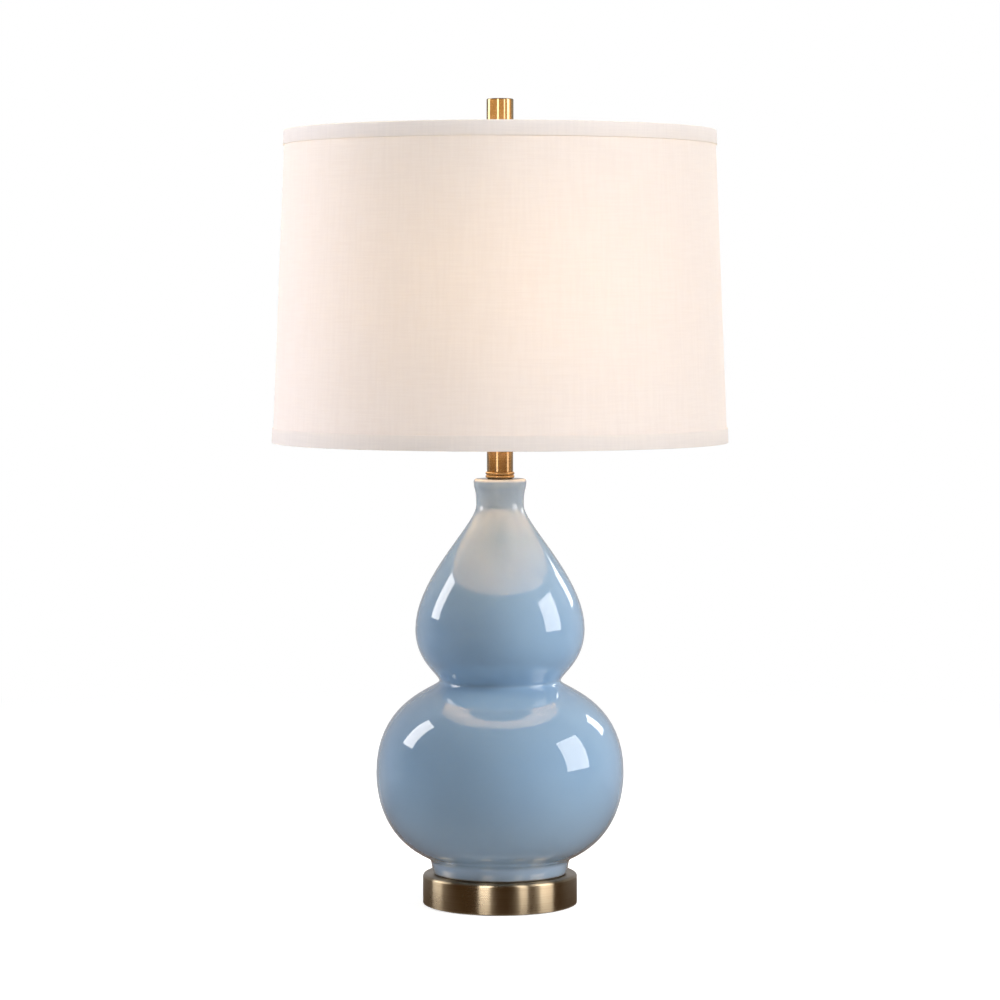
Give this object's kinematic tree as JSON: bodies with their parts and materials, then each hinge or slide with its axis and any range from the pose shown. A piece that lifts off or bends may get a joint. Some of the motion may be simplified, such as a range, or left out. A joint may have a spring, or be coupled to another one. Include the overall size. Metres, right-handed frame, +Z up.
{
  "type": "table lamp",
  "caption": "Table lamp with a glazed ceramic gourd body on a weighted brass base, a socket with its bulb, and a conical fabric shade on a harp under a screw-on finial.",
  "frame": {"origin": "centre of the underside, on the table", "axes": "+Z up along the lamp pipe, -Y the front, towards the switch knob; the cord leaves at +Y"},
  "size_m": [0.3733, 0.3734, 0.6604],
  "materials": {
    "felt": "felt",
    "base_brass": "brushed antique",
    "iron": "as cast",
    "dark_plastic": "satin",
    "steel": "zinc plated",
    "gasket": "matt",
    "blue_glaze": "gloss glaze",
    "neck_brass": "satin",
    "harp_brass": "polished",
    "liner_paper": "pressed board",
    "shell_aluminium": "plain",
    "solder": "satin",
    "black_glass": "gloss",
    "frosted_glass": "frosted",
    "clear_glass": "clear",
    "white_wire": "satin",
    "shade_sheet": "translucent",
    "shade_linen": "fine linen",
    "trim_linen": "fine linen tape"
  },
  "bodies": {
    "stand": {"base_pad": "felt", "base_cup": "base_brass", "base_weight": "iron", "cord_bushing": "dark_plastic", "base_washer": "steel", "base_lock_washer": "steel", "base_nut": "steel", "foot_gasket": "gasket", "ceramic_body": "blue_glaze", "lamp_pipe": "steel", "neck_gasket": "gasket", "neck_ring": "neck_brass", "neck_tube": "neck_brass", "harp_saddle": "harp_brass", "neck_nut": "harp_brass", "socket_cap": "harp_brass", "cap_set_screw": "steel", "socket_shell": "harp_brass", "socket_liner": "liner_paper", "socket_core": "dark_plastic", "screw_shell": "shell_aluminium", "centre_contact": "harp_brass", "terminal_screws": "harp_brass"},
    "switch_key": {"switch_shaft": "steel", "switch_knob": "dark_plastic"},
    "bulb_base": {"bulb_tip": "solder", "bulb_insulator": "black_glass", "bulb_cap": "shell_aluminium"},
    "bulb": {"bulb_glass": "frosted_glass", "bulb_stem": "clear_glass", "bulb_filament": "steel"},
    "harp": {"harp_bow": "harp_brass"},
    "sleeve_left": {"harp_sleeve_left": "harp_brass"},
    "sleeve_right": {"harp_sleeve_right": "harp_brass"},
    "harp_stud": {"harp_stud": "harp_brass"},
    "shade": {"shade_top_frame": "white_wire", "shade_bottom_ring": "white_wire", "shade_liner": "shade_sheet", "shade_fabric": "shade_linen", "shade_top_trim": "trim_linen", "shade_bottom_trim": "trim_linen"},
    "finial_insert": {"finial_insert": "steel"},
    "finial": {"finial_knob": "neck_brass"}
  },
  "joints": [
    {"name": "switch_turn", "type": "hinge", "parent": "stand", "child": "switch_key", "pos_m": [0, -0.02, 0.4113], "axis": [0, -1, 0], "continuous": true},
    {"name": "bulb_rise", "type": "slide", "parent": "stand", "child": "bulb_base", "axis": [0, 0, 1], "range_m": [0, 0.01814]},
    {"name": "bulb_turn", "type": "hinge", "parent": "bulb_base", "child": "bulb", "pos_m": [0, 0, 0.48], "axis": [0, 0, 1], "range_deg": [0, 1800]},
    {"name": "harp_lift", "type": "slide", "parent": "stand", "child": "harp", "axis": [0, 0, 1], "range_m": [0, 0.06]},
    {"name": "left_sleeve_lift", "type": "slide", "parent": "harp", "child": "sleeve_left", "axis": [0, 0, 1], "range_m": [0, 0.012]},
    {"name": "right_sleeve_lift", "type": "slide", "parent": "harp", "child": "sleeve_right", "axis": [0, 0, 1], "range_m": [0, 0.012]},
    {"name": "shade_swivel", "type": "hinge", "parent": "harp", "child": "harp_stud", "pos_m": [0, 0, 0.6128], "axis": [0, 0, 1], "continuous": true},
    {"name": "shade_lift", "type": "slide", "parent": "harp_stud", "child": "shade", "axis": [0, 0, 1], "range_m": [0, 0.26]},
    {"name": "finial_rise", "type": "slide", "parent": "shade", "child": "finial_insert", "axis": [0, 0, 1], "range_m": [0, 0.00846]},
    {"name": "finial_turn", "type": "hinge", "parent": "finial_insert", "child": "finial", "pos_m": [0, 0, 0.64], "axis": [0, 0, 1], "range_deg": [0, 3240]}
  ],
  "couplings": [
    {"joint": "bulb_turn", "follows": "bulb_rise", "rad_per_m": 1731.6},
    {"joint": "finial_turn", "follows": "finial_rise", "rad_per_m": 6679}
  ]
}
